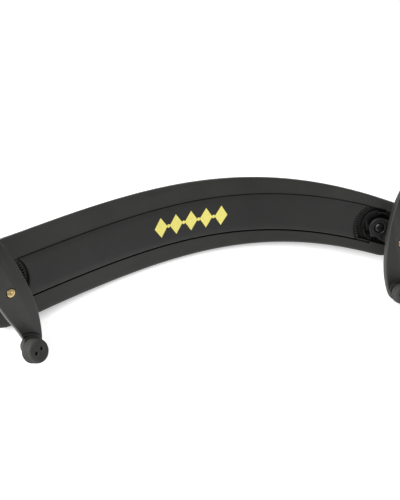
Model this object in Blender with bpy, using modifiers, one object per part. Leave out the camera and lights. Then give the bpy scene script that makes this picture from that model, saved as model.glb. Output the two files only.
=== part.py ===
"""Violin shoulder rest: an arched, tapered bar with a foam pad on its convex side and, at each end,
a swivelling arm, a threaded brass height screw and a two-footed fork that grips the instrument.

Design frame, before the part is laid down: +X along the bar towards its narrow end, -Y towards the
instrument, +Z across the bar's width. The root empty then turns and lifts everything, so that the part
lies on the lower edge of its foam and on the narrow end's lower foot, the way it settles on a table.
Lengths in this file are millimetres and angles degrees unless a comment says otherwise; MM makes metres.
"""
import math

import bmesh
import bpy
from mathutils import Matrix, Vector

for old in list(bpy.data.objects):
    bpy.data.objects.remove(old, do_unlink=True)

MM = 0.001
GAP = 0.3               # free space between pieces that meet

# ---- bar: arch, plan curve and widths ----
REF = 122.72            # station at which the arch and plan values below hold
ARCH = 27.19            # rise of the arch
ARCH_SKEW = 0.315       # how much faster the narrow end rises
PLAN = 15.17            # plan curve, symmetric part
PLAN_SKEW = 7.89        # plan curve, part that bends the narrow end further
WIDTH_MID = 39.9
WIDTH_TAPER = -5.64
WIDTH_CROWN = -3.81
LOW_EXTRA = 0.6         # how much further the lower edge stands off the centre line than the upper one
FLARE = 11.0            # further growth of the lower edge towards the wide end
FLARE_FROM = 0.6
BAR_WIDE = -119.5       # stations of the bar's ends
BAR_NARROW = 121.0
CORNER_WIDE = 11.0      # plan corner radii
CORNER_NARROW = 6.0
BAR_T = 5.0
RIM = 1.2               # rounding of the bar's front edges
STEP = 6.5              # distance between the bar's sections

# ---- centre strip let into the bar ----
STRIP_W = 20.5
STRIP_SHIFT = -0.63     # strip's centre line, off the bar's
STRIP_DRIFT = 1.6       # how far that line moves up towards the narrow end
CHANNEL_D = 1.0         # depth of the strip's seat
STRIP_GAP_LOW = 0.55    # shadow gap along the strip's lower edge
STRIP_PROUD = 0.6
STRIP_ARC_R = 14.4      # hollow ends of the strip, round each pocket's centre

# ---- foam pad ----
PAD_T = 7.0
PAD_WIDE = -116.5
PAD_NARROW = 118.0
PAD_CORNER = 8.0
PAD_INSET_WIDE = 2.6    # how far the foam's edge lies inside the bar's, at the wide end and elsewhere
PAD_INSET = 4.6

# ---- pockets in the bar ----
PIVOT_WIDE = -110.2     # stations of the two swivel axes
PIVOT_NARROW = 107.9
WELL_HALF = 10.0        # half width of the pocket, between the rails
WELL_D = 2.7
TEETH = 52              # index teeth of the pocket's round wall, per full turn
TEETH_R = 13.4
TEETH_DEPTH = 1.2
NOTCH_CLEAR = 3.4       # room round the height screw's tip in the opening at the bar's end
NOTCH_HALF = 9.2
NOTCH_SPAN = 60.0       # degrees to each side over which that opening follows the screw's swing

# ---- swivel discs, arms, clamp screws ----
DISC_R = 9.7
DISC_LOW = -2.4
DISC_TOP = -1.1         # the disc's face, and above it the hub that the arm lies on
DISC_HUB_TOP = 0.4
DISC_HUB_R = 5.4
DISC_CUT = 2.7          # the disc stops here, towards the boss
EAR_T = 1.0
EAR_FROM = 104.0        # each ear runs over this arc, counted from the arm's direction
EAR_TO = 134.0
EAR_TOP = 1.5
LUG_R = 5.9
LUG_LOW = 0.7
LUG_TOP = 2.8
LUG_FLARE = 0.8         # small flare on the lug's lower side
LUG_FAN = 15.0          # degrees by which the arm's upper side spreads towards the boss
BOSS_R = 4.7
BOSS_TOP = 5.6
CLAMP_HEAD_R = 2.6
CLAMP_SEAT = 1.2        # floor of the counterbore that the clamp screw's head sinks into
CLAMP_SHANK_R = 1.3
INSERT_R = 2.6

# ---- height screws ----
SCREW_R = 2.0
SCREW_ROOT_R = 1.65
SCREW_PITCH = 1.25
SCREW_PROUD = 0.25
BUSH_R = 3.2

# ---- forks and feet ----
FORK_T = 3.8
FORK_BEVEL = 0.7
FORK_HUB_R = 4.6
FORK_HUB_H = 2.2
FORK_INNER = ((0.0, 8.7), (6.0, 8.6), (12.0, 8.2), (17.0, 7.5), (21.0, 6.7), (25.0, 5.6), (28.5, 4.4),
              (31.5, 3.1), (33.8, 1.6))
FORK_OUTER = ((0.0, 7.6), (6.0, 7.1), (12.0, 6.3), (17.0, 5.3), (21.0, 4.7), (25.0, 4.3), (28.5, 3.7),
              (31.5, 2.7), (33.8, 1.4))
FORK_TIP = 35.0
COLLAR_AT = 28.6        # collar under each foot, along the fork from its centre
COLLAR_IN = 1.4         # how much nearer the fork's long axis it is than the foot's base
COLLAR_R = 4.3
FOOT_AT = 29.8          # middle of each foot's base, along the fork and above its face
FOOT_UP = 2.8
FOOT_TILT_IN = 13.0     # degrees, towards the bar's middle
FOOT_TILT_MID = 17.0    # degrees, towards the fork's centre
PIN_R = 2.2             # pin that each rubber foot is pushed onto
PIN_LEN = 5.0
FOOT_LEN = 6.4
FOOT_R = 5.6
FOOT_RIBS = 3
FOOT_HOLE_R = 0.85
FOOT_HOLE_AT = 1.75
FOOT_HOLE_TURN = 0.0

# ---- the two ends: direction, pivot, fork face centre (station, height, across), lean and turn (degrees),
# how far the feet stand off the fork's long axis away from the bar's middle, and the screw's length ----
WIDE = {"side": -1, "pivot": PIVOT_WIDE, "face": (-112.0, 34.75, -2.4), "lean": 12.0, "turn": 20.0,
        "foot_out": 4.7, "screw": 20.0}
NARROW = {"side": 1, "pivot": PIVOT_NARROW, "face": (109.4, 45.1, -21.3), "lean": 14.0, "turn": -2.0,
          "foot_out": 1.8, "screw": 17.0}

# ---- how the part lies: turns about X and Y in degrees, then the lift and shift ----
LIE_X = -37.2
LIE_Y = -0.2
SHIFT = (1.64, 29.48, 18.91)

# ------------------------------------------------------------------ collections, objects, materials


def collection(name):
    made = bpy.data.collections.new(name)
    bpy.context.scene.collection.children.link(made)
    return made


parts = collection("violin_shoulder_rest")
cutters = collection("cutters")


def metres(place):
    """The same placement with its shift in metres."""
    out = place.copy()
    out.translation = place.translation * MM
    return out


def empty(name, parent, place):
    obj = bpy.data.objects.new(name, None)
    parts.objects.link(obj)
    obj.parent = parent
    obj.matrix_local = metres(place)
    return obj


def place_mesh(name, mesh, parent, place, mat):
    """Object under an empty; without a material it is a cutter, kept out of the render."""
    obj = bpy.data.objects.new(name, mesh)
    obj.parent = parent
    obj.matrix_local = metres(place)
    if mat is None:
        cutters.objects.link(obj)
        obj.hide_render = True
        obj.display_type = "WIRE"
    else:
        parts.objects.link(obj)
        mesh.materials.append(mat)
    return obj


def material(name, color, metallic=0.0, roughness=0.5):
    mat = bpy.data.materials.new(name)
    mat.use_nodes = True
    shader = mat.node_tree.nodes["Principled BSDF"]
    shader.inputs["Base Color"].default_value = (*color, 1.0)
    shader.inputs["Metallic"].default_value = metallic
    shader.inputs["Roughness"].default_value = roughness
    return mat


# ------------------------------------------------------------------ shapes


def turned(name, profile, parent, place=Matrix(), mat=None, steps=18, ring=False):
    """Turned piece about local Z. The (radius, height) points run down its outer side; a solid piece
    is closed on the axis, a ring has its profile closed on itself."""
    points = list(profile)
    if not ring:
        points = [(0.0, profile[0][1])] + points + [(0.0, profile[-1][1])]
    edges = [(i, i + 1) for i in range(len(points) - 1)]
    if ring:
        edges.append((len(points) - 1, 0))
    mesh = bpy.data.meshes.new(name)
    mesh.from_pydata([(r * MM, 0.0, z * MM) for r, z in points], edges, [])
    obj = place_mesh(name, mesh, parent, place, mat)
    turn = obj.modifiers.new("turn", "SCREW")
    turn.steps = steps
    turn.render_steps = steps
    turn.use_merge_vertices = True
    turn.merge_threshold = 0.000001
    return obj


def plate(name, outline, low, high, parent, place=Matrix(), mat=None, bevel=0.0):
    """Flat piece: a filled outline given its thickness, then made a mesh with its caps joined on."""
    curve = bpy.data.curves.new(name + "_outline", "CURVE")
    curve.dimensions = "2D"
    curve.fill_mode = "BOTH"
    curve.extrude = 0.5 * (high - low) * MM
    spline = curve.splines.new("POLY")
    spline.points.add(len(outline) - 1)
    for point, (x, y) in zip(spline.points, outline):
        point.co = (x * MM, y * MM, 0.0, 1.0)
    spline.use_cyclic_u = True
    sheet = bpy.data.objects.new(name + "_outline", curve)
    bpy.context.scene.collection.objects.link(sheet)
    graph = bpy.context.evaluated_depsgraph_get()
    mesh = bpy.data.meshes.new_from_object(sheet.evaluated_get(graph))
    bpy.data.objects.remove(sheet, do_unlink=True)
    bm = bmesh.new()
    bm.from_mesh(mesh)
    bmesh.ops.remove_doubles(bm, verts=bm.verts, dist=0.0000001)
    bmesh.ops.dissolve_limit(bm, angle_limit=0.01, verts=bm.verts, edges=bm.edges)
    bmesh.ops.translate(bm, verts=bm.verts, vec=(0.0, 0.0, 0.5 * (low + high) * MM))
    bmesh.ops.recalc_face_normals(bm, faces=bm.faces)
    bm.to_mesh(mesh)
    bm.free()
    mesh.name = name
    obj = place_mesh(name, mesh, parent, place, mat)
    if bevel > 0.0:
        edge = obj.modifiers.new("edges", "BEVEL")
        edge.width = bevel * MM
        edge.segments = 1
        edge.limit_method = "ANGLE"
        edge.angle_limit = math.radians(50.0)
    return obj


def loft(name, rings, parent, mat):
    """Solid through equal rings of points, capped at both ends."""
    n = len(rings[0])
    bm = bmesh.new()
    rows = [[bm.verts.new(Vector(p) * MM) for p in ring] for ring in rings]
    for a, b in zip(rows, rows[1:]):
        for i in range(n):
            j = (i + 1) % n
            bm.faces.new((a[i], a[j], b[j], b[i]))
    bm.faces.new(rows[0])
    bm.faces.new(rows[-1])
    bmesh.ops.recalc_face_normals(bm, faces=bm.faces)
    mesh = bpy.data.meshes.new(name)
    bm.to_mesh(mesh)
    bm.free()
    mesh.shade_smooth()
    mesh.set_sharp_from_angle(angle=math.radians(35.0))
    return place_mesh(name, mesh, parent, Matrix(), mat)


def arc(radius, first, last, count, centre=(0.0, 0.0)):
    """Points of an arc, angles in degrees."""
    points = []
    for i in range(count + 1):
        a = math.radians(first + (last - first) * i / count)
        points.append((centre[0] + radius * math.cos(a), centre[1] + radius * math.sin(a)))
    return points


def boolean(obj, tool, operation="DIFFERENCE"):
    mod = obj.modifiers.new(operation.lower() + "_" + tool.name, "BOOLEAN")
    mod.operation = operation
    mod.solver = "EXACT"
    mod.object = tool


def spin(degrees, axis="Z"):
    return Matrix.Rotation(math.radians(degrees), 4, axis)


# ------------------------------------------------------------------ curves of the bar


def arch(x):
    t = x / REF
    return ARCH * t * t * (1.0 + ARCH_SKEW * t)


def arch_angle(x):
    return math.atan2(arch(x + 0.1) - arch(x - 0.1), 0.2)


def plan(x):
    t = x / REF
    return -PLAN * t * t - PLAN_SKEW * t ** 3


def plan_angle(x):
    return math.atan2(plan(x + 0.1) - plan(x - 0.1), 0.2)


def strip_line(x):
    """Offset of the strip's centre line from the bar's at a station."""
    return STRIP_SHIFT + STRIP_DRIFT * max(x / REF, 0.0) ** 3


def half_width(x, first, last, corner_first, corner_last, inset=0.0):
    """Half the width at a station, inside the bar's edge by inset, with round plan corners."""
    t = x / REF
    full = 0.5 * (WIDTH_MID + WIDTH_TAPER * t + WIDTH_CROWN * t * t) - inset
    corner = corner_first if x < 0.0 else corner_last
    over = corner - min(x - first, last - x)
    if over <= 0.0:
        return full
    return full - corner + math.sqrt(max(corner * corner - over * over, 0.0))


def on_bar(x, off, height):
    """A point at a station, off the bar's centre line, and above its front towards the instrument."""
    a = plan_angle(x)
    px = x - math.sin(a) * off
    pz = plan(x) + math.cos(a) * off
    s = arch_angle(px)
    return Vector((px - height * math.sin(s), -(arch(px) + height * math.cos(s)), pz))


def low_extra(x):
    """How much further out the lower edge is than the upper one."""
    return LOW_EXTRA + FLARE * max(-x / REF - FLARE_FROM, 0.0) ** 2


def stations(first, last, corner_first, corner_last, step):
    """Stations along the bar, closer together where the plan corners are round."""
    ends = [1.0 - math.cos(math.radians(k)) for k in (0, 22, 42, 60, 76)]
    a = first + corner_first
    b = last - corner_last
    count = round((b - a) / step)
    middle = [a + (b - a) * i / count for i in range(count + 1)]
    start = [first + corner_first * e for e in ends]
    finish = [last - corner_last * e for e in reversed(ends)]
    return start + middle + finish


def frame(origin, axis):
    """Frame whose Z is the axis and whose Y points across the bar's width."""
    z = Vector(axis).normalized()
    y = Vector((0.0, 0.0, 1.0))
    y = (y - y.dot(z) * z).normalized()
    m = Matrix((y.cross(z), y, z)).transposed().to_4x4()
    m.translation = Vector(origin)
    return m


def pocket_frame(end):
    """Pocket's frame: origin on the rails' level, Z square to the bar, X out of the bar's end."""
    x = end["pivot"]
    s = arch_angle(x)
    origin = on_bar(x, strip_line(x), 0.0)
    flat = frame(origin, (-math.sin(s), -math.cos(s), 0.0))
    ahead = flat.inverted() @ on_bar(x + end["side"], strip_line(x + end["side"]), 0.0)
    return flat @ spin(math.degrees(math.atan2(ahead.y, ahead.x)))


def face_frame(end):
    """Fork's frame: origin in the middle of its face, Z along the screw towards the instrument."""
    x, height, across = end["face"]
    lean = math.radians(end["lean"]) * end["side"]
    return frame((x, -height, across), (-math.sin(lean), -math.cos(lean), 0.0)) @ spin(end["turn"])


# ------------------------------------------------------------------ bar, strip and pad

bar_mat = material("bar_plastic", (0.045, 0.047, 0.044), roughness=0.42)
strip_mat = material("strip_plastic", (0.034, 0.036, 0.035), roughness=0.5)
foam_mat = material("foam", (0.05, 0.05, 0.052), roughness=0.95)
arm_mat = material("arm_plastic", (0.05, 0.052, 0.05), roughness=0.38)
disc_mat = material("disc_plastic", (0.04, 0.041, 0.04), roughness=0.45)
fork_mat = material("fork_plastic", (0.042, 0.044, 0.042), roughness=0.47)
rubber_mat = material("foot_rubber", (0.055, 0.055, 0.054), roughness=0.8)
brass_mat = material("brass", (0.62, 0.45, 0.2), metallic=1.0, roughness=0.28)
steel_mat = material("black_steel", (0.07, 0.07, 0.07), metallic=1.0, roughness=0.32)

root = empty("shoulder_rest", None, Matrix.Translation(SHIFT) @ spin(LIE_Y, "Y") @ spin(LIE_X, "X"))


def strip_rings(section):
    """The same section along the strip's centre line, from one swivel axis to the other."""
    count = round((PIVOT_NARROW - PIVOT_WIDE) / STEP)
    rings = []
    for i in range(count + 1):
        x = PIVOT_WIDE + (PIVOT_NARROW - PIVOT_WIDE) * i / count
        rings.append([on_bar(x, strip_line(x) + off, height) for off, height in section])
    return rings


def make_bar():
    """Arched bar with rounded front edges; the strip's seat is cut along its front."""
    rings = []
    for x in stations(BAR_WIDE, BAR_NARROW, CORNER_WIDE, CORNER_NARROW, STEP):
        high = half_width(x, BAR_WIDE, BAR_NARROW, CORNER_WIDE, CORNER_NARROW)
        low = half_width(x, BAR_WIDE, BAR_NARROW, CORNER_WIDE, CORNER_NARROW, -low_extra(x))
        edge = [(-RIM, 0.0), (-0.35 * RIM, -0.3 * RIM), (0.0, -RIM), (-0.5, 1.6 - BAR_T), (-2.0, -BAR_T)]
        section = [(high + off, height) for off, height in edge]
        section += [(-low - off, height) for off, height in reversed(edge)]
        rings.append([on_bar(x, off, height) for off, height in section])
    made = loft("base_bar", rings, root, bar_mat)
    low = -STRIP_W / 2 - STRIP_GAP_LOW
    high = STRIP_W / 2 + GAP
    seat = [(low, -CHANNEL_D), (high, -CHANNEL_D), (high, 2.0), (low, 2.0)]
    boolean(made, loft("cut_channel", strip_rings(seat), root, None))
    return made


def make_strip():
    low = -STRIP_W / 2
    high = STRIP_W / 2
    section = [(low, GAP - CHANNEL_D), (low, STRIP_PROUD - 0.3), (low + 0.3, STRIP_PROUD),
               (high - 0.3, STRIP_PROUD), (high, STRIP_PROUD - 0.3), (high, GAP - CHANNEL_D)]
    return loft("centre_strip", strip_rings(section), root, strip_mat)


def make_pad():
    top = -BAR_T - GAP
    rings = []
    for x in stations(PAD_WIDE, PAD_NARROW, PAD_CORNER, PAD_CORNER, 1.2 * STEP):
        blend = min(max((x - PAD_WIDE) / 75.0, 0.0), 1.0)
        inset = PAD_INSET_WIDE + (PAD_INSET - PAD_INSET_WIDE) * blend
        high = half_width(x, PAD_WIDE, PAD_NARROW, PAD_CORNER, PAD_CORNER, inset)
        low = half_width(x, PAD_WIDE, PAD_NARROW, PAD_CORNER, PAD_CORNER, inset - low_extra(x))
        edge = [(-0.8, top), (0.0, top - 0.9), (0.0, top - 0.55 * PAD_T), (-1.2, top - 0.86 * PAD_T),
                (-4.0, top - PAD_T)]
        section = [(high + off, height) for off, height in edge]
        section += [(-low - off, height) for off, height in reversed(edge)]
        rings.append([on_bar(x, off, height) for off, height in section])
    return loft("foam_pad", rings, root, foam_mat)


bar = make_bar()
strip = make_strip()
make_pad()

# ------------------------------------------------------------------ outlines of one end


def pocket_outline():
    """Pocket in the bar: toothed round wall inboard, straight sides along the rails, open outwards."""
    reach = math.degrees(math.asin(WELL_HALF / TEETH_R))
    first = math.ceil((180.0 - reach) * TEETH / 360.0)
    last = math.floor((180.0 + reach) * TEETH / 360.0)
    corner = -TEETH_R * math.cos(math.radians(reach))
    points = [(30.0, -WELL_HALF), (30.0, WELL_HALF), (corner, WELL_HALF)]
    for i in range(first, last):
        for part, r in ((0.0, TEETH_R - TEETH_DEPTH), (0.25, TEETH_R), (0.5, TEETH_R),
                        (0.75, TEETH_R - TEETH_DEPTH)):
            a = 2.0 * math.pi * (i + part) / TEETH
            points.append((r * math.cos(a), r * math.sin(a)))
    return points + [(corner, -WELL_HALF)]


def notch_outline(reach):
    """Opening at the bar's end that lets the height screw's tip swing with the arm."""
    inner = arc(reach - NOTCH_CLEAR, NOTCH_SPAN, -NOTCH_SPAN, 16)
    x = inner[0][0]
    return inner + [(x, -NOTCH_HALF), (30.0, -NOTCH_HALF), (30.0, NOTCH_HALF), (x, NOTCH_HALF)]


def disc_outline(radius):
    """Round, cut straight on the side of the boss."""
    edge = math.degrees(math.acos(DISC_CUT / radius))
    return arc(radius, edge, 360.0 - edge, 24)


def lug_outline(reach):
    """Arm from above: round at the clamp screw, spreading towards the boss, with a small flare below."""
    spread = math.radians(LUG_FAN)
    far = reach + 0.75 * BOSS_R
    rise = LUG_R / math.cos(spread) + far * math.tan(spread)
    points = arc(BOSS_R, -90.0, 20.0, 8, (reach, 0.0))
    points += [(far + 0.5, 0.62 * rise), (far + 0.1, 0.9 * rise), (far - 0.7, rise - 0.25)]
    points += arc(LUG_R, 90.0 + LUG_FAN, 250.0, 12)
    points += [(-1.0, -LUG_R - LUG_FLARE), (0.4, -LUG_R - 0.7 * LUG_FLARE), (1.6, -LUG_R + 0.5)]
    points += [(0.5 * reach, -BOSS_R - 0.2)]
    return points


def fork_outline(inner_side):
    """Fork plate: a long lens, a little flatter on its outer side."""
    inner = [(inner_side * w, s) for s, w in FORK_INNER]
    outer = [(-inner_side * w, s) for s, w in FORK_OUTER]
    top = inner + [(0.0, FORK_TIP)] + outer[::-1]
    return top + [(x, -s) for x, s in outer[1:]] + [(0.0, -FORK_TIP)] + [(x, -s) for x, s in inner[:0:-1]]


# ------------------------------------------------------------------ pieces of one end


def cut_bar(tag, pocket, reach):
    """Pocket, screw opening and insert hole in the bar, and the strip's hollow end."""
    boolean(bar, plate("cut_pocket_" + tag, pocket_outline(), -WELL_D, 8.0, pocket))
    boolean(bar, plate("cut_notch_" + tag, notch_outline(reach), -14.0, 9.0, pocket))
    bore = INSERT_R + GAP
    boolean(bar, turned("cut_insert_" + tag, [(bore, 3.0), (bore, -BAR_T - 3.0)], pocket))
    boolean(strip, turned("cut_strip_" + tag, [(STRIP_ARC_R, 8.0), (STRIP_ARC_R, -8.0)], pocket, steps=56))


def make_clamp(tag, swivel):
    """Insert in the bar and the clamp screw that goes through arm and disc into it."""
    top = -WELL_D
    low = -BAR_T + 0.2
    bore = CLAMP_SHANK_R + GAP
    turned("bar_insert_" + tag, [(bore, top), (INSERT_R - 0.2, top), (INSERT_R, top - 0.2),
                                 (INSERT_R, low + 0.2), (INSERT_R - 0.2, low), (bore, low)],
           swivel, mat=brass_mat, ring=True)
    seat = CLAMP_SEAT + GAP
    profile = [(CLAMP_HEAD_R - 0.8, LUG_TOP + 0.1), (CLAMP_HEAD_R - 0.2, LUG_TOP - 0.2),
               (CLAMP_HEAD_R, LUG_TOP - 0.6), (CLAMP_HEAD_R, seat), (CLAMP_SHANK_R, seat),
               (CLAMP_SHANK_R, -BAR_T + 0.8), (CLAMP_SHANK_R - 0.3, -BAR_T + 0.4)]
    clamp = turned("clamp_screw_" + tag, profile, swivel, mat=steel_mat)
    for k in range(2):
        slot = plate("cut_drive_%s_%d" % (tag, k), [(-1.5, -0.32), (1.5, -0.32), (1.5, 0.32), (-1.5, 0.32)],
                     LUG_TOP - 0.9, LUG_TOP + 2.0, swivel, spin(45.0 + 90.0 * k))
        boolean(clamp, slot)


def make_disc(tag, swivel):
    """Swivel disc with its hub and two small raised ears beside the arm."""
    disc = plate("swivel_disc_" + tag, disc_outline(DISC_R), DISC_LOW, DISC_TOP, swivel, mat=disc_mat, bevel=0.3)
    boolean(disc, plate("add_disc_hub_" + tag, disc_outline(DISC_HUB_R), DISC_LOW + 0.5, DISC_HUB_TOP, swivel), "UNION")
    for k in (-1, 1):
        rim = arc(DISC_R - 0.4, EAR_FROM, EAR_TO, 6) + arc(DISC_R - 0.4 - EAR_T, EAR_TO, EAR_FROM, 6)
        ear = plate("add_ear_%s_%s" % (tag, "low" if k < 0 else "high"), [(x, k * y) for x, y in rim],
                    DISC_TOP - 0.6, EAR_TOP, swivel)
        boolean(disc, ear, "UNION")
    bore = CLAMP_SHANK_R + GAP
    boolean(disc, turned("cut_disc_" + tag, [(bore, 5.0), (bore, -5.0)], swivel))


def make_arm(tag, swivel, boss, reach):
    """Arm with its threaded boss, and the brass bush pressed into the boss."""
    arm = plate("arm_" + tag, lug_outline(reach), LUG_LOW, LUG_TOP, swivel, mat=arm_mat, bevel=0.35)
    tower = [(BOSS_R - 0.5, BOSS_TOP), (BOSS_R, BOSS_TOP - 0.5), (BOSS_R, LUG_LOW + 0.9),
             (BOSS_R - 0.4, LUG_LOW + 0.5)]
    boolean(arm, turned("add_boss_" + tag, tower, boss, steps=22), "UNION")
    boolean(arm, turned("cut_bush_" + tag, [(BUSH_R + GAP, 12.0), (BUSH_R + GAP, -12.0)], boss))
    head = CLAMP_HEAD_R + GAP
    shank = CLAMP_SHANK_R + GAP
    seat = [(head, 12.0), (head, CLAMP_SEAT), (shank, CLAMP_SEAT), (shank, -5.0)]
    boolean(arm, turned("cut_clamp_" + tag, seat, swivel))
    bore = SCREW_R + GAP
    low = LUG_LOW + 0.8
    top = BOSS_TOP + 0.2
    wall = [(bore, top), (BUSH_R - 0.2, top), (BUSH_R, BOSS_TOP), (BUSH_R, low), (bore, low)]
    turned("arm_bush_" + tag, wall, boss, mat=brass_mat, ring=True)


def make_screw(tag, face, length):
    """Height screw: flush brass end with a small centre dimple, plain neck, then its thread as ridges."""
    neck = -FORK_T - FORK_HUB_H - 0.5
    profile = [(0.6, SCREW_PROUD - 0.2), (0.9, SCREW_PROUD), (SCREW_R - 0.2, SCREW_PROUD),
               (SCREW_R, SCREW_PROUD - 0.2), (SCREW_R, neck)]
    ridges = int((length + neck - 0.8) / SCREW_PITCH)
    for k in range(ridges):
        z = neck - k * SCREW_PITCH
        profile += [(SCREW_ROOT_R, z - 0.5 * SCREW_PITCH), (SCREW_R, z - SCREW_PITCH)]
    profile += [(SCREW_ROOT_R - 0.4, -length)]
    turned("height_screw_" + tag, profile, face, mat=brass_mat, steps=16)


def make_foot(name, post):
    """Rubber foot: a ribbed drum with a flat end and two small holes, over the fork's pin."""
    profile = [(FOOT_R - 1.5, FOOT_LEN), (FOOT_R - 0.6, FOOT_LEN - 0.4), (FOOT_R - 0.1, FOOT_LEN - 1.2)]
    pitch = (FOOT_LEN - 2.2) / FOOT_RIBS
    for k in range(FOOT_RIBS):
        z = FOOT_LEN - 1.2 - k * pitch
        profile += [(FOOT_R - 0.5, z - 0.65 * pitch), (FOOT_R, z - pitch)]
    profile += [(FOOT_R - 0.8, 0.0)]
    foot = turned(name, profile, post, mat=rubber_mat, steps=22)
    bore = PIN_R + GAP
    boolean(foot, turned("cut_" + name, [(bore, PIN_LEN + GAP), (bore, -2.0)], post, spin(5.0), steps=14))
    for k in (-1, 1):
        place = spin(FOOT_HOLE_TURN) @ Matrix.Translation((k * FOOT_HOLE_AT, 0.0, 0.0)) @ spin(11.0)
        hole = turned("cut_%s_hole_%s" % (name, "a" if k < 0 else "b"),
                      [(FOOT_HOLE_R, FOOT_LEN + 1.0), (FOOT_HOLE_R, PIN_LEN + 0.6)], post, place, steps=8)
        boolean(foot, hole)


def make_fork(tag, face, side, foot_out):
    """Fork plate with its hub, and at each tip a collar and a pin that carries a rubber foot."""
    fork = plate("fork_" + tag, fork_outline(-side), -FORK_T, 0.0, face, mat=fork_mat, bevel=FORK_BEVEL)
    hub_low = -FORK_T - FORK_HUB_H
    boolean(fork, turned("add_hub_" + tag, [(FORK_HUB_R, -1.0), (FORK_HUB_R, hub_low + 0.4),
                                            (FORK_HUB_R - 0.4, hub_low)], face, steps=22), "UNION")
    for k in (-1, 1):
        label = tag + ("_low" if k < 0 else "_high")
        base = Matrix.Translation((side * foot_out, k * FOOT_AT, FOOT_UP))
        tilt = spin(-side * FOOT_TILT_IN, "Y") @ spin(k * FOOT_TILT_MID, "X")
        post = empty("foot_axis_" + label, face, base @ tilt)
        collar = turned("add_collar_" + label, [(COLLAR_R, 6.0), (COLLAR_R, -0.9), (COLLAR_R - 1.2, -2.2)],
                        face, Matrix.Translation((side * (foot_out - COLLAR_IN), k * COLLAR_AT, 0.0)))
        boolean(fork, collar, "UNION")
        boolean(fork, turned("cut_collar_" + label, [(FOOT_R + 3.0, 20.0), (FOOT_R + 3.0, -GAP)], post))
        pin = [(PIN_R - 0.4, PIN_LEN), (PIN_R, PIN_LEN - 0.4), (PIN_R, -2.0)]
        boolean(fork, turned("add_pin_" + label, pin, post, steps=14), "UNION")
        make_foot("foot_" + label, post)
    bore = SCREW_R + GAP
    boolean(fork, turned("cut_fork_" + tag, [(bore, 4.0), (bore, hub_low - 4.0)], face))


def make_end(tag, end):
    """One end of the rest, from the pocket in the bar up to the rubber feet."""
    seat = pocket_frame(end)
    face_at = face_frame(end)
    screw_axis = face_at.col[2].to_3d()
    normal = seat.col[2].to_3d()
    drop = (face_at.translation - seat.translation).dot(normal) / screw_axis.dot(normal)
    crossing = face_at.translation - drop * screw_axis
    local = seat.inverted() @ crossing
    reach = math.hypot(local.x, local.y)
    swing = math.degrees(math.atan2(local.y, local.x))
    pocket = empty("pocket_" + tag, root, seat)
    swivel = empty("swivel_axis_" + tag, pocket, spin(swing))
    boss_at = face_at.copy()
    boss_at.translation = crossing
    boss = empty("boss_axis_" + tag, root, boss_at)
    face = empty("fork_axis_" + tag, root, face_at)
    cut_bar(tag, pocket, reach)
    make_clamp(tag, swivel)
    make_disc(tag, swivel)
    make_arm(tag, swivel, boss, reach)
    make_screw(tag, face, end["screw"])
    make_fork(tag, face, end["side"], end["foot_out"])


make_end("wide", WIDE)
make_end("narrow", NARROW)
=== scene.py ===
"""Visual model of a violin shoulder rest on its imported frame: finer shapes than the CAD solids where they
show, procedural materials, a soft foam pad, a pale floor, studio light and a camera."""

import math

import bmesh
import bpy
from mathutils import Matrix, Vector, noise


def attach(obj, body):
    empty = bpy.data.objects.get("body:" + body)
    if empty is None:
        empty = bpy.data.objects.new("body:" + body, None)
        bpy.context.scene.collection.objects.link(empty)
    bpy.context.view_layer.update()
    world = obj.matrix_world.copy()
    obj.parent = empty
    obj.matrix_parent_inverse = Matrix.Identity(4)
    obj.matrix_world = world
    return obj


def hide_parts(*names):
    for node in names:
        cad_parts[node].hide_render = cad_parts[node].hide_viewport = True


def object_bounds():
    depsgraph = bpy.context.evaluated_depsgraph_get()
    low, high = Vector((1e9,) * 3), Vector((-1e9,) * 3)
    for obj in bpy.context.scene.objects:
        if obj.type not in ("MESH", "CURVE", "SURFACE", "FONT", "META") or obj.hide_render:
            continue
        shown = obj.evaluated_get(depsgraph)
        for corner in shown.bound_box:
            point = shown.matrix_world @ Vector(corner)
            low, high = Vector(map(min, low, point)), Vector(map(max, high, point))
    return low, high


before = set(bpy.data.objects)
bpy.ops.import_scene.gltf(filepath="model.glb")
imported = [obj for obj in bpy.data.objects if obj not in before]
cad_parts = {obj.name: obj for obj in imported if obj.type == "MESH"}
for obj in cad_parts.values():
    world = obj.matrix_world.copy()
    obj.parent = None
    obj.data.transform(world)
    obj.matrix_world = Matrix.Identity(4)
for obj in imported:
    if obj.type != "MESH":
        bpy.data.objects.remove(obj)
cad_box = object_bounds()

MM = 0.001
GAP = 0.3               # free space between pieces that meet, as in the CAD

# ---- bar: arch, plan curve and widths ----
REF = 122.72            # station at which the arch and plan values below hold
ARCH = 27.19            # rise of the arch
ARCH_SKEW = 0.315       # how much faster the narrow end rises
PLAN = 15.17            # plan curve, symmetric part
PLAN_SKEW = 7.89        # plan curve, part that bends the narrow end further
WIDTH_MID = 39.9
WIDTH_TAPER = -5.64
WIDTH_CROWN = -3.81
LOW_EXTRA = 0.6         # how much further the lower edge stands off the centre line than the upper one
FLARE = 11.0            # further growth of the lower edge towards the wide end
FLARE_FROM = 0.6
BAR_WIDE = -119.5       # stations of the bar's ends
BAR_NARROW = 121.0
CORNER_WIDE = 11.0      # plan corner radii
CORNER_NARROW = 6.0
BAR_T = 5.0
RIM = 1.2               # rounding of the bar's front edges
CHAMFER_TO = 10.0       # the bar's upper edge sharpens into a chamfer from here to the wide end
CHAMFER_FADE = 60.0
STEP = 2.6              # distance between sections, halved on the bar and the strip

# ---- centre strip let into the bar ----
STRIP_W = 20.5
STRIP_SHIFT = -0.63     # strip's centre line, off the bar's
STRIP_DRIFT = 1.6       # how far that line moves up towards the narrow end
CHANNEL_D = 1.0         # depth of the strip's seat
STRIP_GAP_LOW = 0.55    # shadow gap along the strip's lower edge
STRIP_PROUD = 0.6
STRIP_ARC_R = 14.4      # hollow ends of the strip, round each pocket's centre

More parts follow.
